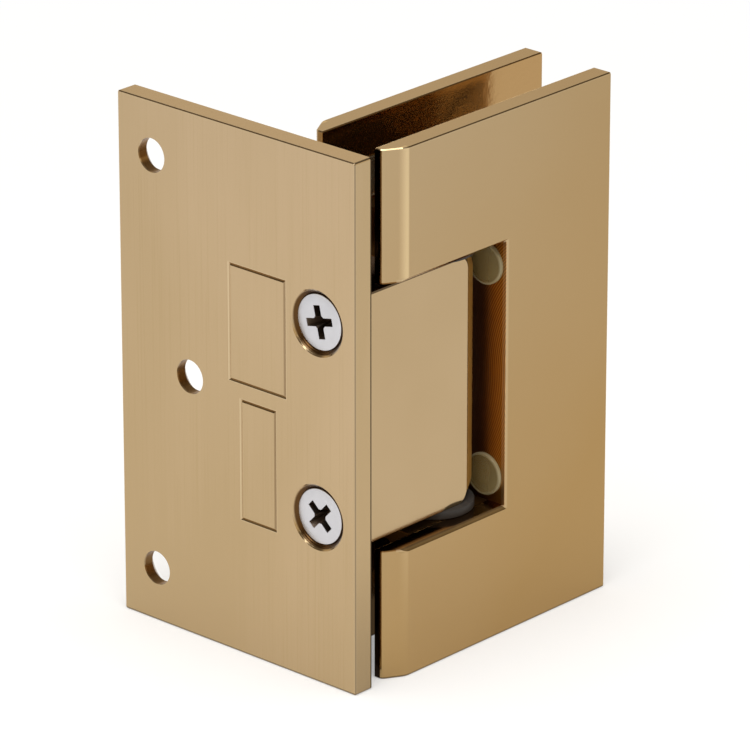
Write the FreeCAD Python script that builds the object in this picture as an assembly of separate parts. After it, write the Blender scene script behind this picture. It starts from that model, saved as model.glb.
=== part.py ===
import FreeCAD, Part
import math
import os

# Shower door hinge, wall to glass. All sizes are in millimetres.
# +X leaves the wall, +Y runs along the wall away from the door's front face, +Z is up.
# x = 0 is the wall, y = 0 is the middle of the glass and z = 0 is mid-height.

# Wall plate
plate_height = 90.0
plate_width = 51.4
plate_thickness = 3.9
plate_front_reach = 8.2
plate_corner_radius = 0.4
wall_hole_diameter = 5.8
wall_countersink_diameter = 9.8
outer_hole_inset = 7.4
outer_hole_end_inset = 9.3
middle_hole_inset = 15.4
panel_groove_width = 0.5
panel_groove_depth = 0.25
upper_panel_distance = 12.9
upper_panel_rise = 11.9
upper_panel_width = 12.0
upper_panel_height = 19.6
lower_panel_distance = 12.8
lower_panel_drop = 11.2
lower_panel_width = 7.4
lower_panel_height = 20.4

# Clamp leaf
leaf_height = 90.0
leaf_width = 52.3
leaf_wall_gap = 3.5
leaf_thickness = 3.6
leaf_corner_radius = 0.4
glass_space = 11.0
bevel_width = 3.65
bevel_depth = 2.15
bevel_softening = 2.8
bevel_end_radius = 1.2
notch_half_height = 22.7
notch_edge_chamfer = 0.6
notch_end_chamfer = 0.25
edge_chamfer = 0.18

# Pivot
pin_distance = 27.3
pin_radius = 3.2
pin_end_depth = 0.5
pin_flat_distance = 2.75
pin_flat_half_length = 12.6
pocket_end_distance = 7.4
bush_radius = 4.0
bush_length = 8.0
washer_radius = 6.75
washer_thickness = 1.4

# Knuckle
knuckle_thickness = 11.0
knuckle_nose_distance = 5.3
knuckle_bevel_width = 3.25
knuckle_bevel_depth = 1.85
knuckle_face_corner = 2.3
knuckle_nose_corner = 3.4

# Boss through the glass cut-out
boss_half_height = 31.0
boss_depth = 9.8
lug_reach = 11.6

# Self-centring spring
slot_width = 6.0
slot_height = 23.0
spring_width = 5.2
spring_length = 22.0
spring_thickness = 0.8
spring_sag = 2.0

# Fasteners
screw_radius = 2.5
screw_head_radius = 4.65
screw_head_rim = 0.3
knuckle_screw_length = 16.0
knuckle_screw_half_spacing = 16.5
knuckle_countersink_radius = 5.6
clamp_screw_length = 12.5
clamp_screw_inset = 4.6
clamp_screw_end_inset = 4.5
clamp_countersink_radius = 5.1
set_screw_radius = 2.0
set_screw_length = 4.9

# Gaskets and bumpers
gasket_thickness = 0.5
gasket_end_inset = 7.0
gasket_side_inset = 2.0
gasket_boss_margin = 0.6
bumper_radius = 3.6
bumper_thickness = 0.6
bumper_offset = 4.65
bumper_end_inset = 4.5

# Clearances between pieces
running_clearance = 0.05
thread_clearance = 0.05
press_clearance = 0.02
contact_gap = 0.03
washer_play = 0.03
slot_clearance = 0.05

# Places that follow from the sizes above
half_plate = plate_height / 2
half_leaf = leaf_height / 2
inner_face = glass_space / 2
outer_face = inner_face + leaf_thickness
leaf_start = plate_thickness + leaf_wall_gap
leaf_end = leaf_start + leaf_width
pocket_end = pin_distance + pocket_end_distance
boss_end = pocket_end + boss_depth
lug_start = pin_distance - lug_reach
knuckle_half_height = notch_half_height - washer_thickness - 2 * washer_play
knuckle_half_thickness = knuckle_thickness / 2
bush_seat_radius = bush_radius + press_clearance
screw_hole_radius = screw_radius + thread_clearance
plate_rear = plate_width - plate_front_reach
pin_half_length = boss_half_height - pin_end_depth
set_screw_height = (notch_half_height + boss_half_height) / 2
clamp_screw_distance = boss_end - clamp_screw_inset
clamp_screw_height = boss_half_height - clamp_screw_end_inset
bumper_height = notch_half_height - bumper_end_inset

axis_x = FreeCAD.Vector(1, 0, 0)
axis_y = FreeCAD.Vector(0, 1, 0)
axis_z = FreeCAD.Vector(0, 0, 1)


def point(x, y, z):
    return FreeCAD.Vector(x, y, z)


def block(x0, x1, y0, y1, z0, z1):
    return Part.makeBox(x1 - x0, y1 - y0, z1 - z0, point(x0, y0, z0))


def rod(radius, start, direction, length):
    return Part.makeCylinder(radius, length, start, direction)


def ring(outer, inner, z0, height):
    base = point(pin_distance, 0, z0)
    return rod(outer, base, axis_z, height).cut(rod(inner, base, axis_z, height))


def edges_where(shape, test):
    # Picks the edges whose bounding box passes a test.
    return [edge for edge in shape.Edges if test(edge.BoundBox)]


def near(a, b):
    return abs(a - b) < 1e-4


def flat_at_x(box, x):
    return near(box.XMin, x) and near(box.XMax, x)


def flat_at_y(box, y):
    return near(box.YMin, y) and near(box.YMax, y)


def countersink(mouth_radius, hole_radius, mouth, direction, length):
    # A 90 degree cone that narrows to a plain hole, as a cutting tool.
    depth = mouth_radius - hole_radius
    cone = Part.makeCone(mouth_radius, hole_radius, depth, mouth, direction)
    return cone.fuse(rod(hole_radius, mouth, direction, length))


def sunk_depth(mouth_radius):
    # How far a screw's head lies below the face when its cone meets the countersink.
    return mouth_radius - screw_head_radius - screw_head_rim - contact_gap


def countersunk_screw(head_top, direction, length):
    # The head's short rim, its 90 degree cone and a plain shank.
    cone_depth = screw_head_radius - screw_radius
    rim = rod(screw_head_radius, head_top, direction, screw_head_rim)
    cone_top = head_top + direction * screw_head_rim
    cone = Part.makeCone(screw_head_radius, screw_radius, cone_depth, cone_top, direction)
    shank = rod(screw_radius, cone_top, direction, length - screw_head_rim)
    return rim.fuse([cone, shank]).removeSplitter()


def flat_face(corners):
    return Part.Face(Part.makePolygon(corners + corners[:1]))


def frustum(low, high):
    # A solid of flat faces between two outlines of four corners each.
    faces = [flat_face(low), flat_face(high)]
    for start in range(4):
        end = (start + 1) % 4
        faces.append(flat_face([low[start], low[end], high[end], high[start]]))
    return Part.Solid(Part.Shell(faces))


def panel_outline(x, y, z, width, height, growth):
    # A panel's four corners at one depth in the plate, grown on each side.
    across = width / 2 + growth
    up = height / 2 + growth
    return [
        point(x, y - across, z - up),
        point(x, y + across, z - up),
        point(x, y + across, z + up),
        point(x, y - across, z + up),
    ]


def panel_border(*panel):
    # A cutter for the V-shaped groove that borders one blank panel on the face against the wall.
    bottom = panel_outline(panel_groove_depth, *panel, 0)
    outside = frustum(panel_outline(-panel_groove_depth, *panel, panel_groove_width), bottom)
    inside = frustum(panel_outline(-panel_groove_depth, *panel, -panel_groove_width), bottom)
    return outside.cut(inside)


def wall_plate():
    plate = block(0, plate_thickness, -plate_front_reach, plate_rear, -half_plate, half_plate)
    corners = edges_where(plate, lambda box: near(box.XLength, plate_thickness))
    plate = plate.makeFillet(plate_corner_radius, corners)
    rims = edges_where(plate, lambda box: flat_at_x(box, 0) or flat_at_x(box, plate_thickness))
    plate = plate.makeChamfer(edge_chamfer, rims)
    outer_height = half_plate - outer_hole_end_inset
    hole_places = [
        (plate_rear - outer_hole_inset, outer_height),
        (plate_rear - outer_hole_inset, -outer_height),
        (plate_rear - middle_hole_inset, 0),
    ]
    for y, z in hole_places:
        mouth = point(plate_thickness, y, z)
        plate = plate.cut(countersink(
            wall_countersink_diameter / 2, wall_hole_diameter / 2, mouth, -axis_x, plate_thickness))
    for z in (knuckle_screw_half_spacing, -knuckle_screw_half_spacing):
        plate = plate.cut(countersink(
            knuckle_countersink_radius, screw_hole_radius, point(0, 0, z), axis_x, plate_thickness))
    plate = plate.cut(panel_border(
        upper_panel_distance, upper_panel_rise, upper_panel_width, upper_panel_height))
    plate = plate.cut(panel_border(
        lower_panel_distance, -lower_panel_drop, lower_panel_width, lower_panel_height))
    return plate


def knuckle_outline(y, nose, corner):
    # One outline of the knuckle across its thickness, with rounded corners at the nose.
    top = knuckle_half_height
    slack = corner * (1 - math.sqrt(0.5))
    lower_mid = point(nose - slack, y, -top + slack)
    upper_mid = point(nose - slack, y, top - slack)
    lower_arc = Part.Arc(point(nose - corner, y, -top), lower_mid, point(nose, y, -top + corner)).toShape()
    upper_arc = Part.Arc(point(nose, y, top - corner), upper_mid, point(nose - corner, y, top)).toShape()
    return Part.Wire([
        Part.makeLine(point(plate_thickness, y, -top), point(nose - corner, y, -top)),
        lower_arc,
        Part.makeLine(point(nose, y, -top + corner), point(nose, y, top - corner)),
        upper_arc,
        Part.makeLine(point(nose - corner, y, top), point(plate_thickness, y, top)),
        Part.makeLine(point(plate_thickness, y, top), point(plate_thickness, y, -top)),
    ])


def knuckle_block():
    nose = pin_distance + knuckle_nose_distance
    face_end = nose - knuckle_bevel_width
    side = knuckle_half_thickness
    shoulder = side - knuckle_bevel_depth
    knuckle = Part.makeLoft([
        knuckle_outline(-side, face_end, knuckle_face_corner),
        knuckle_outline(-shoulder, nose, knuckle_nose_corner),
        knuckle_outline(shoulder, nose, knuckle_nose_corner),
        knuckle_outline(side, face_end, knuckle_face_corner),
    ], True, True)
    bottom = point(pin_distance, 0, -knuckle_half_height)
    knuckle = knuckle.cut(rod(bush_seat_radius, bottom, axis_z, 2 * knuckle_half_height))
    knuckle = knuckle.cut(block(
        plate_thickness, pin_distance, -slot_width / 2, slot_width / 2, -slot_height / 2, slot_height / 2))
    screw_tip = sunk_depth(knuckle_countersink_radius) + knuckle_screw_length
    for z in (knuckle_screw_half_spacing, -knuckle_screw_half_spacing):
        depth = screw_tip + screw_radius / 2
        knuckle = knuckle.cut(rod(screw_hole_radius, point(0, 0, z), axis_x, depth))
    return knuckle


def knuckle_screw(z):
    head_top = point(sunk_depth(knuckle_countersink_radius), 0, z)
    return countersunk_screw(head_top, axis_x, knuckle_screw_length)


def bush(side):
    start = knuckle_half_height - bush_length if side > 0 else -knuckle_half_height
    return ring(bush_radius, pin_radius + running_clearance, start, bush_length)


def thrust_washer(side):
    low = knuckle_half_height + washer_play
    start = low if side > 0 else -low - washer_thickness
    return ring(washer_radius, bush_radius - running_clearance, start, washer_thickness)


def pivot_pin():
    pin = rod(pin_radius, point(pin_distance, 0, -pin_half_length), axis_z, 2 * pin_half_length)
    waste = block(
        pin_distance - 2 * pin_radius, pin_distance - pin_flat_distance, -pin_radius, pin_radius,
        -pin_flat_half_length, pin_flat_half_length)
    return pin.cut(waste)


def bow_radius():
    # Radius of the arc through the spring's ends and crown.
    return ((spring_length / 2) ** 2 + spring_sag ** 2) / (2 * spring_sag)


def centring_spring():
    crown = pin_distance - pin_flat_distance - contact_gap
    radius = bow_radius()
    start = point(crown - radius, -spring_width / 2, 0)
    bow = rod(radius, start, axis_y, spring_width)
    bow = bow.cut(rod(radius - spring_thickness, start, axis_y, spring_width))
    window = block(
        crown - spring_sag - spring_thickness, crown + spring_sag,
        -spring_width, spring_width, -spring_length / 2, spring_length / 2)
    return bow.common(window)


def spring_keeper():
    crown = pin_distance - pin_flat_distance - contact_gap
    end = crown - spring_sag - spring_thickness - contact_gap
    half_width = slot_width / 2 - slot_clearance
    half_height = slot_height / 2 - slot_clearance
    return block(plate_thickness + slot_clearance, end, -half_width, half_width, -half_height, half_height)


def notch_corners(y, growth):
    # The notch's corners at one depth, grown on each of its edges, and less at its end.
    reach = pocket_end + growth - (notch_edge_chamfer - notch_end_chamfer)
    half_height = notch_half_height + growth
    return [
        point(0, y, -half_height),
        point(reach, y, -half_height),
        point(reach, y, half_height),
        point(0, y, half_height),
    ]


def notch_flare(side):
    # A cutter that chamfers the notch on its outer face alone, and runs out on the bevelled end.
    outer = side * outer_face
    flare = notch_edge_chamfer
    deep = notch_corners(outer - side * flare, 0)
    wide = notch_corners(outer + side * flare, 2 * flare)
    return frustum(deep, wide)


def clamp_plate(side):
    # One clamp plate on the given side of the glass: bevelled end, notch for the knuckle, soft edges.
    inner = side * inner_face
    outer = side * outer_face
    corners = [
        point(leaf_start, inner, -half_leaf),
        point(leaf_end, inner, -half_leaf),
        point(leaf_end, outer, -half_leaf),
        point(leaf_start + bevel_width, outer, -half_leaf),
        point(leaf_start, outer - side * bevel_depth, -half_leaf),
    ]
    plate = flat_face(corners).extrude(axis_z * leaf_height)
    far_corners = edges_where(
        plate, lambda box: flat_at_x(box, leaf_end) and near(box.ZLength, 0))
    plate = plate.makeFillet(leaf_corner_radius, far_corners)
    bevel_edges = edges_where(
        plate, lambda box: flat_at_y(box, outer) and flat_at_x(box, leaf_start + bevel_width))
    plate = plate.makeFillet(bevel_softening, bevel_edges)
    end_edges = edges_where(
        plate, lambda box: flat_at_x(box, leaf_start) and flat_at_y(box, outer - side * bevel_depth))
    plate = plate.makeFillet(bevel_end_radius, end_edges)
    rims = edges_where(
        plate, lambda box: (flat_at_y(box, outer) or flat_at_y(box, inner)) and box.XMax > pocket_end)
    plate = plate.makeChamfer(edge_chamfer, rims)
    waste = block(
        0, pocket_end, -2 * outer_face, 2 * outer_face, -notch_half_height, notch_half_height)
    return plate.cut(waste).cut(notch_flare(side))


def front_leaf():
    leaf = clamp_plate(-1)
    boss = block(lug_start, boss_end, -inner_face, inner_face, -boss_half_height, boss_half_height)
    boss = boss.cut(block(0, pocket_end, -outer_face, outer_face, -notch_half_height, notch_half_height))
    leaf = leaf.fuse(boss).removeSplitter()
    bore = rod(pin_radius + press_clearance, point(pin_distance, 0, -half_leaf), axis_z, leaf_height)
    leaf = leaf.cut(bore)
    for z in (set_screw_height, -set_screw_height):
        leaf = leaf.cut(rod(set_screw_radius + thread_clearance, point(leaf_start, 0, z), axis_x,
                            pin_distance - leaf_start))
    hole_depth = clamp_screw_length + screw_radius / 2
    for z in (clamp_screw_height, -clamp_screw_height):
        mouth = point(clamp_screw_distance, outer_face, z)
        leaf = leaf.cut(rod(screw_hole_radius, mouth, -axis_y, hole_depth))
    return leaf


def rear_clamp_plate():
    plate = clamp_plate(1)
    for z in (clamp_screw_height, -clamp_screw_height):
        mouth = point(clamp_screw_distance, outer_face, z)
        plate = plate.cut(countersink(
            clamp_countersink_radius, screw_hole_radius, mouth, -axis_y, leaf_thickness))
    return plate


def clamp_screw(z):
    head_top = point(clamp_screw_distance, outer_face - sunk_depth(clamp_countersink_radius), z)
    return countersunk_screw(head_top, -axis_y, clamp_screw_length)


def pin_set_screw(z):
    tip = pin_distance - pin_radius - contact_gap
    return rod(set_screw_radius, point(tip - set_screw_length, 0, z), axis_x, set_screw_length)


def gasket(side):
    low, high = sorted((side * inner_face, side * (inner_face - gasket_thickness)))
    reach = half_leaf - gasket_end_inset
    sheet = block(leaf_start + gasket_side_inset, leaf_end - gasket_side_inset, low, high, -reach, reach)
    cut_reach = boss_half_height + gasket_boss_margin
    return sheet.cut(block(0, boss_end + gasket_boss_margin, low, high, -cut_reach, cut_reach))


def bumper(side, z):
    face = pocket_end - bumper_thickness
    return rod(bumper_radius, point(face, side * bumper_offset, z), axis_x, bumper_thickness)


pieces = {
    "wall_plate": wall_plate(),
    "knuckle_block": knuckle_block(),
    "knuckle_screw_upper": knuckle_screw(knuckle_screw_half_spacing),
    "knuckle_screw_lower": knuckle_screw(-knuckle_screw_half_spacing),
    "upper_bush": bush(1),
    "lower_bush": bush(-1),
    "upper_thrust_washer": thrust_washer(1),
    "lower_thrust_washer": thrust_washer(-1),
    "centring_spring": centring_spring(),
    "spring_keeper": spring_keeper(),
    "pivot_pin": pivot_pin(),
    "front_leaf": front_leaf(),
    "rear_clamp_plate": rear_clamp_plate(),
    "pin_set_screw_upper": pin_set_screw(set_screw_height),
    "pin_set_screw_lower": pin_set_screw(-set_screw_height),
    "clamp_screw_upper": clamp_screw(clamp_screw_height),
    "clamp_screw_lower": clamp_screw(-clamp_screw_height),
    "front_gasket": gasket(-1),
    "rear_gasket": gasket(1),
    "front_bumper_upper": bumper(-1, bumper_height),
    "front_bumper_lower": bumper(-1, -bumper_height),
    "rear_bumper_upper": bumper(1, bumper_height),
    "rear_bumper_lower": bumper(1, -bumper_height),
}

os.makedirs("parts", exist_ok=True)
for name, shape in pieces.items():
    shape.exportStep("parts/" + name + ".step")
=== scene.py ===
import bmesh
import bpy
import math
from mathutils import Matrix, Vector


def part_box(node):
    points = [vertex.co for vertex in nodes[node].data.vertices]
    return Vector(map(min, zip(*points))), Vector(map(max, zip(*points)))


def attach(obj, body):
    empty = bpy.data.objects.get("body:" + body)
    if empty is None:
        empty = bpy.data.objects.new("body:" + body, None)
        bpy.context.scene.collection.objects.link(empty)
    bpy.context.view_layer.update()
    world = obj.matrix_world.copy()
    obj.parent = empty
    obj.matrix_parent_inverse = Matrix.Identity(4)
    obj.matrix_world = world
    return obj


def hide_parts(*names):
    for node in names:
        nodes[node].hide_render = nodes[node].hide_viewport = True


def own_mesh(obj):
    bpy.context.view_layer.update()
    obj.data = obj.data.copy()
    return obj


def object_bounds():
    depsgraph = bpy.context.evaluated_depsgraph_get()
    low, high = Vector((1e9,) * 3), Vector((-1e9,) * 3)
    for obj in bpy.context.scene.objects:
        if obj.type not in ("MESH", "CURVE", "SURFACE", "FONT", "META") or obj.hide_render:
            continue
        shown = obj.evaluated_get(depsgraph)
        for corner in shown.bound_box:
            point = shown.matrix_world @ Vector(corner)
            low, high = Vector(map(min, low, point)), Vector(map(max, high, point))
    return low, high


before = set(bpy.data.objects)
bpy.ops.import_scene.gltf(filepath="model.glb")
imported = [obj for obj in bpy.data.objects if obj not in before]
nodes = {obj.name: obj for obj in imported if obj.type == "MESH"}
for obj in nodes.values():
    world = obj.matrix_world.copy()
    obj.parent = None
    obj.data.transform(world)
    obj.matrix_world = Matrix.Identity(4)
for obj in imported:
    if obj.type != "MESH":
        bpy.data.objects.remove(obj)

solid_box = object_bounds()
bpy.ops.object.select_all(action="DESELECT")

# Wall plate
# A flat brass bar, drilled, countersunk and plated in a champagne satin finish. Its back keeps upright
# brush lines and has two blank panels bordered by stamped grooves. Painted shade darkens its front edge,
# more towards the foot, its front and foot arrises, and its bores, countersinks and groove floors. Painted
# light brightens it towards the top and the front.


class Wire:
    """A shader socket. Sums and products of wires add Math nodes, and node() adds any other node."""

    def __init__(self, tree, socket=None):
        self.tree = tree
        self.socket = socket

    def node(self, kind, settings, sockets, output=0):
        """An output of a new node, whose settings are set first and then its sockets."""
        made = self.tree.nodes.new(kind)
        for name, value in settings.items():
            setattr(made, name, value)
        for name, value in sockets.items():
            if isinstance(value, Wire):
                self.tree.links.new(value.socket, made.inputs[name])
            else:
                made.inputs[name].default_value = value
        return Wire(self.tree, made.outputs[output])

    def maths(self, operation, first, second=0.0):
        return self.node("ShaderNodeMath", {"operation": operation}, {0: first, 1: second})

    def __add__(self, other):
        return self.maths("ADD", self, other)

    __radd__ = __add__

    def __sub__(self, other):
        return self.maths("SUBTRACT", self, other)

    def __rsub__(self, other):
        return self.maths("SUBTRACT", other, self)

    def __mul__(self, other):
        return self.maths("MULTIPLY", self, other)

    __rmul__ = __mul__

    def __abs__(self):
        return self.maths("ABSOLUTE", self)

    def __lt__(self, other):
        return self.maths("LESS_THAN", self, other)

    def __gt__(self, other):
        return self.maths("GREATER_THAN", self, other)

    def least(self, other):
        return self.maths("MINIMUM", self, other)

    def most(self, other):
        return self.maths("MAXIMUM", self, other)

    def wave(self, length):
        """A sine from -1 to 1, once in each length."""
        return self.maths("SINE", self * (2 * math.pi / length))

    def fade(self, full, none):
        """1 where this is at full or beyond it, falling to 0 at none."""
        return self.node("ShaderNodeMapRange", {"interpolation_type": "SMOOTHSTEP"},
                         {"Value": self, "From Min": full, "From Max": none, "To Min": 1.0, "To Max": 0.0})

    def between(self, low, high):
        """A colour that goes from low to high as this goes from 0 to 1."""
        return self.node("ShaderNodeMix", {"data_type": "RGBA"}, {0: self, 6: low, 7: high}, 2)

    def off(self, point):
        """How far this place is from a point."""
        return self.node("ShaderNodeVectorMath", {"operation": "DISTANCE"}, {0: self, 1: point}, "Value")


def finish(name, **constants):
    """A new material, its Principled shader with constant sockets, and the place on the piece in metres."""
    material = bpy.data.materials.new(name)
    material.use_nodes = True
    shader = material.node_tree.nodes["Principled BSDF"]
    for socket, value in constants.items():
        shader.inputs[socket.replace("_", " ")].default_value = value
    place = Wire(material.node_tree).node("ShaderNodeTexCoord", {}, {}, "Object")
    return material, shader, place


def feed(shader, **wires):
    """Link wires to the shader's sockets of the same names."""
    for socket, wire in wires.items():
        wire.tree.links.new(wire.socket, shader.inputs[socket.replace("_", " ")])


def axes_of(place):
    """The X, Y and Z of a place."""
    return [place.node("ShaderNodeSeparateXYZ", {}, {"Vector": place}, axis) for axis in "XYZ"]


def grain(place, scale, detail=2.0):
    """Noise from 0 to 1, with its waves per metre along X, Y and Z."""
    stretched = place.node("ShaderNodeMapping", {}, {"Vector": place, "Scale": scale})
    return place.node("ShaderNodeTexNoise", {}, {"Vector": stretched, "Scale": 1.0, "Detail": detail})


def raised(height):
    """A normal for a relief whose height is in metres."""
    return height.node("ShaderNodeBump", {}, {"Height": height, "Strength": 1.0, "Distance": 1.0})


def off_border(across, up, middle, half_size):
    """Distance outwards from the border of an upright rectangle, less than 0 inside it."""
    return (abs(across - middle[0]) - half_size[0]).most(abs(up - middle[1]) - half_size[1])


def inward(place, box):
    """Distances inwards from the nearer face of a box, along X, Y and Z."""
    return [(axis - low).least(high - axis) for axis, low, high in zip(axes_of(place), *box)]


def off_edge(place, box):
    """Distance from the nearest edge of a box, for a place on one of its faces."""
    along_x, along_y, along_z = inward(place, box)
    return along_x.least(along_y).most(along_x.most(along_y).least(along_z))


def off_faces(place, box):
    """Distance inwards from the nearest face of a box."""
    along_x, along_y, along_z = inward(place, box)
    return along_x.least(along_y).least(along_z)


def dress(name, material):
    """Give a solid its material."""
    mesh = nodes[name].data
    mesh.materials.clear()
    mesh.materials.append(material)


champagne_pale = (0.532, 0.392, 0.236, 1.0)
champagne_deep = (0.458, 0.332, 0.180, 1.0)
champagne_worn = (0.700, 0.560, 0.370, 1.0)
bore_shade_tint = (0.240, 0.130, 0.045, 1.0)
countersink_shade_tint = (0.100, 0.050, 0.018, 1.0)
arris_shade_tint = (0.020, 0.012, 0.005, 1.0)
skin = 0.00005
chamfer = 0.00018
arris_width = 0.00042
arris_depth = 0.0003
foot_line = 0.00034
worn_full, worn_none = 0.0001, 0.0004
back_skin = 0.0002
groove_floor = 0.0003
groove_half_width = 0.00025
groove_clear, groove_near = 0.0008, 0.0005
bore_full, bore_none = 0.00040, 0.00012
block_side_end = 0.0100
panels = (((0.0129, 0.0119), (0.0060, 0.0098)), ((0.0128, -0.0112), (0.0037, 0.0102)))
brush_height = 0.000006
turned_height = 0.000006
turned_pitch = 0.00025
plate_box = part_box("wall_plate")
plate_low, plate_high = plate_box

plate_brass, shader, place = finish("plate_brass", Metallic=1.0)
x, y, z = axes_of(place)
tone = grain(place, (60.0, 60.0, 25.0), 3.0)
brush = grain(place, (500.0, 1500.0, 20.0), 4.0)
scratch = grain(place, (500.0, 2600.0, 26.0), 1.0).fade(0.34, 0.44)
# Painted light brightens the plate towards its top and front, and painted shade darkens its front edge face.
upper_front_light = (z * 9.0 - y * 9.0).least(0.45)
front_edge = y < plate_low[1] + skin
streaks_and_painted_shading = tone * 0.9 + brush * 0.45 - scratch * 0.22 + upper_front_light - front_edge * 0.8 - 0.10
on_back = x < back_skin
upper_border, lower_border = [off_border(y, z, middle, half_size) for middle, half_size in panels]
border = upper_border.least(lower_border)
lip = abs(border - groove_half_width).fade(0.0, 0.00015) * on_back * 0.6
# Painted shade darkens the groove floors and the walls of the bores and countersinks, darkest near the
# block's screws.
groove_shade = abs(border + groove_half_width * 0.5).fade(0.00005, 0.00020) * (x < groove_floor) * 0.45
bored = off_faces(place, plate_box).fade(bore_full, bore_none) * abs(border).fade(groove_clear, groove_near)
bore_shade = (y < block_side_end).between(bore_shade_tint, countersink_shade_tint)
satin_and_painted_shade = bored.most(groove_shade).between(streaks_and_painted_shading.between(champagne_deep, champagne_pale), bore_shade)
edge = off_edge(place, plate_box)
wear = edge.fade(worn_full, worn_none) * 0.25
satin_and_painted_shade = wear.most(lip).between(satin_and_painted_shade, champagne_worn)
# Painted shade: dark lines along the front arrises and the foot, and the front edge darker towards its foot.
room_arris_shade = (x > plate_high[0] - arris_width) * 0.95
arris_shade = room_arris_shade.most((edge < chamfer) * 0.45) * (y < plate_low[1] + arris_depth)
foot_shade = (z < plate_low[2] + foot_line) * 0.55
low_front_shade = front_edge * z.fade(-0.046, -0.016) * 0.25
feed(shader, Base_Color=arris_shade.most(foot_shade).most(low_front_shade).between(satin_and_painted_shade, arris_shade_tint))
feed(shader, Roughness=0.17 + (brush - 0.5) * 0.10 + bored * 0.06)
feed(shader, Normal=raised(brush * on_back * brush_height + x.wave(turned_pitch) * bored * turned_height))
dress("wall_plate", plate_brass)

# Pivot block
# A milled brass block, screwed to the plate from behind, that fills the leaf's notch and carries the pin.
# It is polished before plating, so only a slow ripple is left. Its nose is duller and carries a painted
# reflection of the pocket's end wall. Painted shade darkens its ends and a band along its upper arris.
block_pale = (0.484, 0.355, 0.204, 1.0)
block_deep = (0.428, 0.308, 0.164, 1.0)
nose_wall_reflection = (0.560, 0.300, 0.070, 1.0)
block_shade_tint = (0.060, 0.035, 0.015, 1.0)
nose_full, nose_none = 0.0298, 0.0294
block_worn = 0.0005
upper_shade_band = 0.00038
block_ripple = 0.000025
block_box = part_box("knuckle_block")
block_top = block_box[1][2]

block_brass, shader, place = finish("block_brass")
x, _, z = axes_of(place)
tone = grain(place, (25.0, 25.0, 25.0), 3.0)
ripple = grain(place, (160.0, 160.0, 160.0))
# Painted reflection of the pocket's end wall on the nose, which is also duller.
nose = x.fade(nose_full, nose_none)
smooth_and_nose_reflection = nose.between(((tone - 0.5) * 2.0 + 0.5).between(block_deep, block_pale), nose_wall_reflection)
wear = off_edge(place, block_box).fade(worn_full, block_worn) * 0.25
# Painted shade: the block's ends, and a band along its upper arris under the leaf's arm.
end_and_arris_shade = (abs(z) > block_top - skin).most((z > block_top - upper_shade_band) * 0.9)
feed(shader, Base_Color=end_and_arris_shade.between(wear.between(smooth_and_nose_reflection, champagne_worn), block_shade_tint))
feed(shader, Roughness=0.13 + (ripple - 0.5) * 0.06 + nose * 0.25)
feed(shader, Metallic=1.0 - nose * 0.45)
feed(shader, Normal=raised(ripple * block_ripple))
dress("knuckle_block", block_brass)

# Pivot block screws
# Two zinc plated machine screws with flat countersunk heads and cross recesses, driven through the plate.
# Each is turned from its head down to the neck and a ridged shank, and the recess is punched last.


def pick_faces(piece, wanted):
    """Select, in edit mode, only the faces whose middle and normal are wanted."""
    shape = bmesh.from_edit_mesh(piece.data)
    for face in shape.faces:
        face.select_set(False)
    for face in shape.faces:
        if wanted(face.calc_center_median(), face.normal):
            face.select_set(True)
    bmesh.update_edit_mesh(piece.data)


def pick_edges(piece, wanted):
    """Select, in edit mode, only the edges whose two ends are wanted."""
    shape = bmesh.from_edit_mesh(piece.data)
    for edge in shape.edges:
        edge.select_set(False)
    for edge in shape.edges:
        if wanted(edge.verts[0].co, edge.verts[1].co):
            edge.select_set(True)
    bmesh.update_edit_mesh(piece.data)


def open_piece(name):
    """Name the new primitive, put its place in its mesh and open it in edit mode."""
    piece = bpy.context.object
    piece.name = piece.data.name = name
    bpy.ops.object.transform_apply(location=True, rotation=True, scale=True)
    bpy.ops.object.mode_set(mode="EDIT")
    bpy.ops.mesh.select_mode(type="FACE")
    return piece


def take_up(piece):
    """Make a piece the only one that is selected, and the active one."""
    bpy.ops.object.select_all(action="DESELECT")
    piece.select_set(True)
    bpy.context.view_layer.objects.active = piece


def merge_seams(reach):
    """Merge the points of the active piece that lie within reach of each other."""
    bpy.ops.object.mode_set(mode="EDIT")
    bpy.ops.mesh.select_all(action="SELECT")
    bpy.ops.mesh.remove_doubles(threshold=reach)
    bpy.ops.object.mode_set(mode="OBJECT")


def draw_out(top, bottom, widening):
    """Extrude the selected end face down to a new height, and widen or narrow it there."""
    bpy.ops.mesh.extrude_region_move(TRANSFORM_OT_translate={"value": (0.0, 0.0, bottom - top)})
    bpy.ops.transform.resize(value=(widening, widening, 1.0), center_override=(0.0, 0.0, bottom))


def roll_thread(top, lowest, pitch, widening):
    """Draw the selected end face out in rings, a pitch each, and return the height that it reaches."""
    while top - pitch > lowest:
        draw_out(top, top - pitch / 2, widening)
        draw_out(top - pitch / 2, top - pitch, 1 / widening)
        top -= pitch
    return top


cut_seam = 0.000002


def cut_away(piece, cutter):
    """Cut a finished cutter out of a piece, and throw the cutter away."""
    bpy.ops.object.mode_set(mode="OBJECT")
    take_up(piece)
    cut = piece.modifiers.new("cut", "BOOLEAN")
    cut.operation = "DIFFERENCE"
    cut.solver = "EXACT"
    cut.object = cutter
    bpy.ops.object.modifier_apply(modifier=cut.name)
    bpy.data.objects.remove(cutter)
    merge_seams(cut_seam)


head_radius = 0.00465
head_rim = 0.0003
shank_radius = 0.0025
thread_pitch = 0.0008
thread_root = 0.86
tip_narrowing = 0.74


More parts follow.
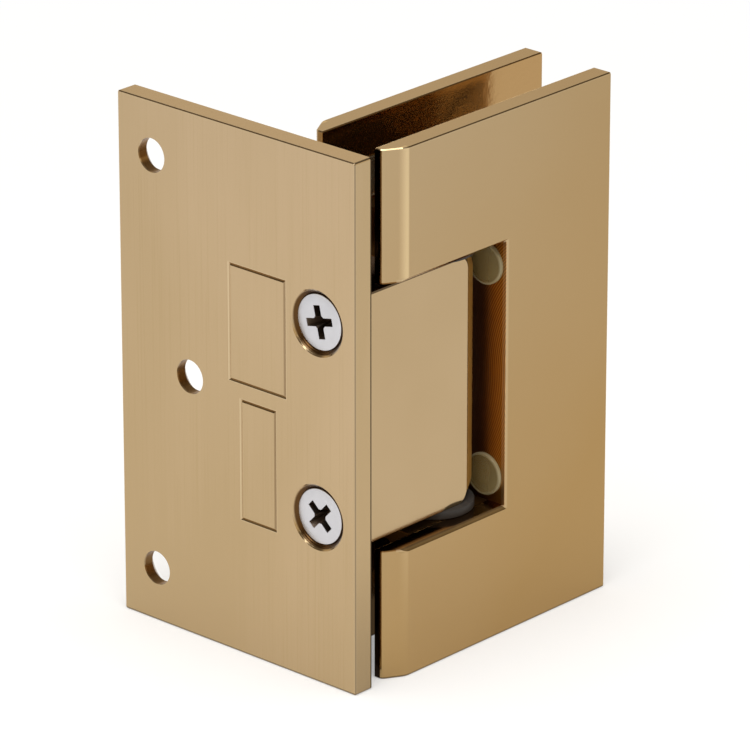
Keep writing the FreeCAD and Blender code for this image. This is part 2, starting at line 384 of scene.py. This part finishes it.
def turn_screw(name, length):
    """A countersunk screw with its head at z = 0, drawn out downwards, with rings for its thread."""
    bpy.ops.mesh.primitive_cylinder_add(vertices=48, radius=head_radius, depth=head_rim,
                                        location=(0.0, 0.0, -head_rim / 2))
    screw = open_piece(name)
    pick_edges(screw, lambda a, b: min(a.z, b.z) > -1e-6)
    bpy.ops.mesh.bevel(offset=head_rim * 0.4, segments=2)
    pick_faces(screw, lambda middle, normal: normal.z < -0.9)
    neck = -head_rim - (head_radius - shank_radius)
    draw_out(-head_rim, neck, shank_radius / head_radius)
    thread_end = roll_thread(neck, thread_pitch - length, thread_pitch, thread_root)
    draw_out(thread_end, -length, tip_narrowing)
    bpy.ops.object.mode_set(mode="OBJECT")
    return screw


smooth_angle = math.radians(32)


def set_in(model, name, turn, spot, material, body):
    """A copy of a finished model, turned and set in its place, in the place of the solid of that name."""
    take_up(model)
    bpy.ops.object.duplicate(linked=False)
    piece = bpy.context.object
    piece.name = piece.data.name = name + "_made"
    piece.rotation_mode = "ZYX"
    piece.rotation_euler = turn
    piece.location = spot
    bpy.ops.object.transform_apply(location=True, rotation=True, scale=True)
    bpy.ops.object.shade_smooth_by_angle(angle=smooth_angle)
    piece.data.materials.clear()
    piece.data.materials.append(material)
    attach(piece, body)
    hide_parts(name)


block_screw = turn_screw("block_screw_model", length=0.016)
recess_length = 0.0060
recess_width = 0.00145
recess_depth = 0.0031
recess_taper = 0.55
cutter_rise = 0.0003
cone_point = 0.0005
cone_mouth = 0.00130
cone_turn = math.radians(4.0)
for quarter in (0.0, math.pi / 2):
    bpy.ops.mesh.primitive_cube_add(size=1.0, location=(0.0, 0.0, -recess_depth / 2 + cutter_rise),
                                    scale=(recess_length, recess_width, recess_depth + 2 * cutter_rise),
                                    rotation=(0.0, 0.0, quarter))
    wing = open_piece("recess_wing")
    pick_faces(wing, lambda middle, normal: normal.z < -0.9)
    bpy.ops.transform.resize(value=(recess_taper, recess_taper, 1.0), center_override=(0.0, 0.0, 0.0))
    cut_away(block_screw, wing)
# The cone is turned a little, so that none of its edges lies in line with the wings.
bpy.ops.mesh.primitive_cone_add(vertices=24, radius1=cone_point, radius2=cone_mouth, depth=recess_depth,
                                location=(0.0, 0.0, -recess_depth / 2 + cutter_rise),
                                rotation=(0.0, 0.0, cone_turn))
cut_away(block_screw, open_piece("recess_cone"))

# Painted shade for the dark cross recesses.
recess_shade_tint = (0.24, 0.19, 0.15, 1.0)
steel_specks = 0.000012


def plated_steel(name, low, high, roughness, shade_mask=None):
    """Plated or stainless steel: a cloudy tone, fine specks in its gloss, and painted shade where the mask
    says.
    """
    material, shader, place = finish(name, Metallic=1.0)
    cloud = grain(place, (420.0, 420.0, 420.0), 3.0)
    speck = grain(place, (5000.0, 5000.0, 5000.0))
    colour = cloud.between(low, high)
    if shade_mask:
        colour = shade_mask(place).between(colour, recess_shade_tint)
    feed(shader, Base_Color=colour)
    feed(shader, Roughness=roughness + (cloud - 0.5) * 0.10 + (speck - 0.5) * 0.12)
    feed(shader, Normal=raised(speck * steel_specks))
    return material


def off_axes(place, side, height):
    """Distance from the nearest of the axes along X that lie to both sides, at plus and minus a height."""
    _, y, z = axes_of(place)
    mirrored = place.node("ShaderNodeCombineXYZ", {}, {"X": 0.0, "Y": abs(y), "Z": abs(z)})
    return mirrored.off((0.0, side, height))


driven_height = 0.0165
driven_depth = 0.00062
recess_shade_start = driven_depth + 0.0001
recess_shade_full, recess_shade_none = 0.0031, 0.0033


def recess_shade(place):
    """Painted shade: 1 in the cross recesses, below the faces of the heads and near the screws' axes."""
    below_head = axes_of(place)[0] > recess_shade_start
    return below_head * off_axes(place, 0.0, driven_height).fade(recess_shade_full, recess_shade_none)


bright_zinc = plated_steel("bright_zinc", (0.55, 0.55, 0.58, 1.0), (0.67, 0.67, 0.70, 1.0), 0.34,
                           recess_shade)
for name, turn, height in (("knuckle_screw_upper", math.radians(13), driven_height),
                           ("knuckle_screw_lower", math.radians(47), -driven_height)):
    set_in(block_screw, name, (0.0, -math.pi / 2, turn), (driven_depth, 0.0, height), bright_zinc,
           "wall_side")
bpy.data.objects.remove(block_screw)

# Bushes, spring keeper and thrust washers
# Grey nylon: two plain bushes pressed into the pivot block, the keeper that backs the spring there, and on
# each end of the block a washer that carries the leaf. The washers are stamped rings with softened rims.
moulded_specks = 0.00001


def moulded(name, low, high, roughness, **constants):
    """Moulded nylon or vinyl: a faint cloudy tone and a fine even texture."""
    material, shader, place = finish(name, **constants)
    cloud = grain(place, (260.0, 260.0, 260.0), 3.0)
    speck = grain(place, (4200.0, 4200.0, 4200.0))
    feed(shader, Base_Color=cloud.between(low, high))
    feed(shader, Roughness=roughness + (speck - 0.5) * 0.16)
    feed(shader, Normal=raised(speck * moulded_specks))
    return material


grey_nylon = moulded("grey_nylon", (0.042, 0.038, 0.036, 1.0), (0.064, 0.059, 0.056, 1.0), 0.40,
                     Specular_IOR_Level=0.10)
for name in ("upper_bush", "lower_bush", "spring_keeper"):
    dress(name, grey_nylon)

pin_line = 0.0273
washer_radius = 0.00675
washer_bore = 0.00395
washer_thickness = 0.0014
washer_height = 0.02197
washer_round = 0.00016
bpy.ops.mesh.primitive_cylinder_add(vertices=72, radius=washer_radius, depth=washer_thickness)
washer = open_piece("washer_model")
pick_faces(washer, lambda middle, normal: abs(normal.z) > 0.9)
bpy.ops.mesh.inset(thickness=washer_radius - washer_bore, use_individual=True)
bpy.ops.mesh.bridge_edge_loops()
bpy.ops.mesh.select_mode(type="EDGE")
pick_edges(washer, lambda a, b: abs(a.z - b.z) < 1e-7 and abs(a.xy.length - b.xy.length) < 1e-7)
bpy.ops.mesh.bevel(offset=washer_round, segments=2)
bpy.ops.mesh.select_all(action="SELECT")
bpy.ops.mesh.normals_make_consistent(inside=False)
bpy.ops.object.mode_set(mode="OBJECT")
for name, height in (("upper_thrust_washer", washer_height), ("lower_thrust_washer", -washer_height)):
    set_in(washer, name, (0.0, 0.0, 0.0), (pin_line, 0.0, height), grey_nylon, "wall_side")
bpy.data.objects.remove(washer)

# Pivot pin and centring spring
# A ground stainless pin with a flat, and a bowed strip of spring steel that presses on the flat to bring
# the door back to its middle.
stainless = plated_steel("stainless", (0.44, 0.43, 0.42, 1.0), (0.56, 0.55, 0.54, 1.0), 0.24)
spring_steel = plated_steel("spring_steel", (0.30, 0.30, 0.31, 1.0), (0.40, 0.40, 0.41, 1.0), 0.30)
copy_seam = 0.000001
dress("pivot_pin", stainless)
dress("centring_spring", spring_steel)
spring = bpy.data.objects.new("centring_spring_made", nodes["centring_spring"].data.copy())
bpy.context.collection.objects.link(spring)
take_up(spring)
merge_seams(copy_seam)
bpy.ops.object.shade_smooth_by_angle(angle=smooth_angle)
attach(spring, "wall_side")
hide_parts("centring_spring")
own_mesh(spring)

# Clamp leaf and rear plate
# Leaf and boss are one brass casting, and the rear plate is cut from bar. Both are polished and plated.
# A face mill leaves arcs on the pocket's end wall. Inner faces keep a cast ripple. Painted shade darkens
# the boss, the sills, the leaf's end face and foot, the inner faces towards the plate end and the bottom,
# the end wall towards the pocket's middle, and the leaf towards its lower right. A painted highlight runs
# along the bevel's ridge.
leaf_pale = (0.448, 0.326, 0.180, 1.0)
leaf_deep = (0.382, 0.242, 0.094, 1.0)
wall_deep = (0.110, 0.035, 0.004, 1.0)
wall_bright = (0.560, 0.270, 0.055, 1.0)
sill_shade_tint = (0.200, 0.100, 0.030, 1.0)
inner_tint = (0.440, 0.270, 0.110, 1.0)
end_shade_tint = (0.015, 0.008, 0.004, 1.0)
boss_shade_tint = (0.090, 0.047, 0.016, 1.0)
ridge_highlight_tint = (0.740, 0.565, 0.320, 1.0)
notch_half_height = 0.0227
pocket_end = 0.0347
pocket_reach = 0.0089
bevel_ridge = 0.01105
face_width = 0.049
face_height = 0.09
outer_band = 0.0082
inner_face = 0.0055
boss_reach = 0.0054
lip_top = 0.00058
lip_start, lip_stop = 0.0085, 0.00906
lip_lean = 0.11
mill_spacing = 0.0004
mill_height = 0.000005
leaf_ripple = 0.00002
peel_height = 0.000022
wall_skin = 0.0001
face_skin = 0.0002
mill_centre = (pocket_end, -0.030, 0.0)
leaf_low, leaf_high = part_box("front_leaf")
rear_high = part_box("rear_clamp_plate")[1]
clamp_box = (leaf_low, (leaf_high[0], rear_high[1], leaf_high[2]))

leaf_brass, shader, place = finish("leaf_brass", Metallic=1.0)
x, y, z = axes_of(place)
tone = grain(place, (25.0, 25.0, 25.0), 3.0)
ripple = grain(place, (170.0, 170.0, 170.0))
peel = grain(place, (650.0, 650.0, 650.0))
outside = abs(y) > outer_band
inside = abs(abs(y) - inner_face) < face_skin
on_boss = abs(y) < boss_reach
on_wall = (abs(x - pocket_end) < wall_skin) * (abs(z) < notch_half_height) * (abs(y) < pocket_reach)
on_sill = (abs(abs(z) - notch_half_height) < face_skin) * (x < pocket_end)
# Painted shade: the leaf's end face and a line along its foot.
on_end = (x < leaf_low[0] + skin) * (y < 0.0)
foot_shade = (z < leaf_low[2] + foot_line) * 0.55
arcs = place.off(mill_centre).wave(mill_spacing) * on_wall

# Painted shade: the leaf is darker and deeper in colour towards its lower right, lighter upwards.
shaded_rightwards = (x - bevel_ridge) * (0.45 / face_width)
lit_upwards = (z - leaf_low[2]) * (0.75 / face_height)
polished_and_shaded = (tone * 0.4 + lit_upwards - shaded_rightwards).between(leaf_deep, leaf_pale)
# Painted shade: the inner faces darken towards the plate end and the bottom, and the boss is dark.
inner_shade = (x.fade(0.012, 0.034) * z.fade(-0.020, 0.020)).between(inner_tint, end_shade_tint)
cast_and_shaded = on_boss.between(inside.between(polished_and_shaded, inner_shade), boss_shade_tint)
# The end wall's arcs are milling marks; painted shade darkens the wall towards the pocket's middle, and the
# sills.
wall_arcs_and_shade = ((arcs * 0.4 + 0.6) * abs(y).fade(0.0092, 0.0030)).between(wall_deep, wall_bright)
milled_and_shaded = on_sill.between(on_wall.between(cast_and_shaded, wall_arcs_and_shade), sill_shade_tint)
notch_border = off_border(x, z, (0.0, 0.0), (pocket_end, notch_half_height))
notch_rim = abs(notch_border).fade(0.0002, 0.0006) * outside
wear = off_edge(place, clamp_box).fade(worn_full, worn_none).most(notch_rim) * 0.25
# Painted highlight along the bevel's ridge, stronger towards the top.
ridge_highlight_strength = z.fade(0.015, -0.040) * 0.64 + 0.02
ridge_highlight = (bevel_ridge - x).fade(-0.0001, 0.0014) * (x - bevel_ridge).fade(0.0002, 0.0006) * outside * ridge_highlight_strength
worn_and_ridge_highlight = ridge_highlight.between(wear.between(milled_and_shaded, champagne_worn), ridge_highlight_tint)
feed(shader, Base_Color=on_end.most(foot_shade).between(worn_and_ridge_highlight, end_shade_tint))
feed(shader, Roughness=0.13 + (ripple - 0.5) * 0.05 + on_wall.most(on_boss) * 0.30)
above = abs(z) - notch_half_height
on_lip = (above > 0.0) * (above < lip_top) * (abs(y) > lip_start) * (abs(y) < lip_stop) * (x < pocket_end)
rippled = ripple * (1.0 - on_wall) * leaf_ripple + inside * peel * peel_height
feed(shader, Normal=raised(rippled + arcs * mill_height - on_lip * above * lip_lean))
dress("front_leaf", leaf_brass)
dress("rear_clamp_plate", leaf_brass)

# Clamp screws and set screws
# Stainless hexagon socket screws: two countersunk ones draw the rear plate to the boss, and two headless
# ones lock the pin in the boss.


def sink_socket(screw, radius, depth):
    """Cut a hexagon socket with a drilled point into the top of a screw."""
    bpy.ops.mesh.primitive_cylinder_add(vertices=6, radius=radius, depth=2 * depth)
    socket = open_piece("socket_cutter")
    pick_faces(socket, lambda middle, normal: normal.z < -0.9)
    draw_out(-depth, -depth - radius * 0.5, 0.1)
    cut_away(screw, socket)


clamp_line = 0.0399
clamp_depth = 0.00898
clamp_height = 0.0265
clamp_screw = turn_screw("clamp_screw_model", length=0.0125)
sink_socket(clamp_screw, radius=0.00173, depth=0.0021)
for name, height in (("clamp_screw_upper", clamp_height), ("clamp_screw_lower", -clamp_height)):
    set_in(clamp_screw, name, (-math.pi / 2, 0.0, 0.0), (clamp_line, clamp_depth, height), stainless,
           "door_leaf")
bpy.data.objects.remove(clamp_screw)

lock_radius = 0.0020
lock_length = 0.0049
lock_lead = 0.0002
lock_pitch = 0.0007
lock_tip = 0.9
lock_mouth = 0.01917
lock_height = 0.02685
bpy.ops.mesh.primitive_cylinder_add(vertices=40, radius=lock_radius * thread_root, depth=lock_lead,
                                    location=(0.0, 0.0, -lock_lead / 2))
lock_screw = open_piece("lock_screw_model")
pick_faces(lock_screw, lambda middle, normal: normal.z < -0.9)
thread_end = roll_thread(-lock_lead, -lock_length, lock_pitch, 1 / thread_root)
draw_out(thread_end, -lock_length, lock_tip)
bpy.ops.object.mode_set(mode="OBJECT")
sink_socket(lock_screw, radius=0.00115, depth=0.0018)
for name, height in (("pin_set_screw_upper", lock_height), ("pin_set_screw_lower", -lock_height)):
    set_in(lock_screw, name, (0.0, -math.pi / 2, 0.0), (lock_mouth, 0.0, height), stainless,
           "door_leaf")
bpy.data.objects.remove(lock_screw)

# Gaskets
# Thin sheets of clear soft vinyl, cut out round the boss. They lie between the two plates and the glass,
# and keep the glass off the metal.
clear_vinyl = moulded("clear_vinyl", (0.28, 0.22, 0.13, 1.0), (0.34, 0.28, 0.18, 1.0), 0.20, Alpha=0.20)
for name in ("front_gasket", "rear_gasket"):
    dress(name, clear_vinyl)

# Bumpers
# Clear soft discs with a raised rim and a dished middle, stuck to the end wall of the pocket. There are two
# on each side of the pivot block, to stop the door against the block's flank.
soft_deep = (0.20, 0.13, 0.04, 1.0)
soft_pale = (0.40, 0.33, 0.16, 1.0)
rim_highlight_tint = (0.62, 0.56, 0.38, 1.0)
bumper_radius = 0.0036
bumper_thickness = 0.0006
bumper_side = 0.00465
bumper_height = 0.0182
rim_width = 0.00045
rim_slope = 0.00025
rim_round = 0.00018
dish_depth = 0.00012
bpy.ops.mesh.primitive_cylinder_add(vertices=64, radius=bumper_radius, depth=bumper_thickness,
                                    location=(0.0, 0.0, bumper_thickness / 2))
disc = open_piece("bumper_model")
pick_faces(disc, lambda middle, normal: normal.z > 0.9)
bpy.ops.mesh.inset(thickness=rim_width)
bpy.ops.mesh.inset(thickness=rim_slope)
bpy.ops.transform.translate(value=(0.0, 0.0, -dish_depth))
bpy.ops.mesh.select_mode(type="EDGE")
pick_edges(disc, lambda a, b: (min(a.z, b.z) > bumper_thickness - 1e-6
                               and min(a.xy.length, b.xy.length) > bumper_radius - skin))
bpy.ops.mesh.bevel(offset=rim_round, segments=3)
bpy.ops.object.mode_set(mode="OBJECT")
clear_soft, shader, place = finish("clear_soft", Alpha=0.62, IOR=1.5)
cloud = grain(place, (260.0, 260.0, 260.0), 3.0)
# Painted shade darkens the discs towards the pocket's middle, and a painted highlight lightens their rims.
lit_outward = abs(axes_of(place)[1]).fade(0.0080, 0.0020)
rim_highlight = off_axes(place, bumper_side, bumper_height).fade(0.0033, 0.0031)
body_and_shade = (lit_outward * 0.8 + cloud * 0.2).between(soft_deep, soft_pale)
feed(shader, Base_Color=(rim_highlight * 0.35).between(body_and_shade, rim_highlight_tint))
feed(shader, Roughness=0.16 + cloud * 0.08)
for name, side, height in (("front_bumper_upper", -bumper_side, bumper_height),
                           ("front_bumper_lower", -bumper_side, -bumper_height),
                           ("rear_bumper_upper", bumper_side, bumper_height),
                           ("rear_bumper_lower", bumper_side, -bumper_height)):
    set_in(disc, name, (0.0, -math.pi / 2, 0.0), (pocket_end, side, height), clear_soft,
           "door_leaf")
bpy.data.objects.remove(disc)

# Floor, light and camera
# A white studio floor under a large overhead softbox. The room is white low down and dark higher up,
# so that polished edges show dark and light lines.
floor_white = (0.965, 0.97, 0.98, 1.0)
bpy.ops.mesh.primitive_plane_add(size=6.0, location=(0.0, 0.0, solid_box[0][2]))
floor = bpy.context.object
floor.name = "studio_floor"
floor_paint, shader, place = finish("floor_paint", Roughness=0.9, Base_Color=floor_white)
camera_ray, glossy_ray, clear_ray = [
    place.node("ShaderNodeLightPath", {}, {}, ray)
    for ray in ("Is Camera Ray", "Is Glossy Ray", "Is Transmission Ray")]
away = place.off((0.0, 0.0, 0.0)).fade(0.45, 0.10)
shown = camera_ray.most(glossy_ray).most(clear_ray) * (0.35 + away * 0.65)
paint = Wire(place.tree, shader.outputs[0])
glow = place.node("ShaderNodeEmission", {}, {"Color": (1.0, 1.0, 1.0, 1.0), "Strength": 1.0})
white = place.node("ShaderNodeMixShader", {}, {0: shown, 1: paint, 2: glow})
feed(place.tree.nodes["Material Output"], Surface=white)
floor.data.materials.append(floor_paint)

ceiling_grey = (0.6, 0.6, 0.6, 1.0)
upper_wall_dark = (0.17, 0.14, 0.10, 1.0)
middle_wall_warm = (0.82, 0.70, 0.50, 1.0)
lower_wall_white = (0.95, 0.91, 0.83, 1.0)
room = bpy.data.worlds.new("studio_room")
room.use_nodes = True
bpy.context.scene.world = room
direction = Wire(room.node_tree).node("ShaderNodeTexCoord", {}, {}, "Generated")
rise = axes_of(direction)[2]
upper_wall = rise.fade(0.44, 0.58).between(upper_wall_dark, middle_wall_warm)
room_wall = rise.fade(0.12, 0.28).between(upper_wall, lower_wall_white)
feed(room.node_tree.nodes["Background"], Color=rise.fade(0.95, 0.70).between(room_wall, ceiling_grey))

hinge_middle = Vector((0.03, 0.01, 0.0))
bpy.ops.object.light_add(type="AREA", location=(-0.25, -0.18, 1.3))
softbox = bpy.context.object
softbox.data.size = 1.2
softbox.data.energy = 18.0
softbox.rotation_euler = (hinge_middle - softbox.location).to_track_quat("-Z", "Y").to_euler()

# A long lens, a metre away, looks down on the back of the wall plate and the front of the leaf.
camera_dip = 21.806
camera_turn = -47.518
bpy.ops.object.camera_add(location=(-0.6596, -0.6164, 0.3690))
camera = bpy.context.object
camera.rotation_euler = (math.radians(90.0 - camera_dip), 0.0, math.radians(camera_turn))
camera.data.sensor_width = 36.0
camera.data.lens = 297.7
bpy.context.scene.camera = camera
bpy.context.scene.view_settings.view_transform = "Standard"
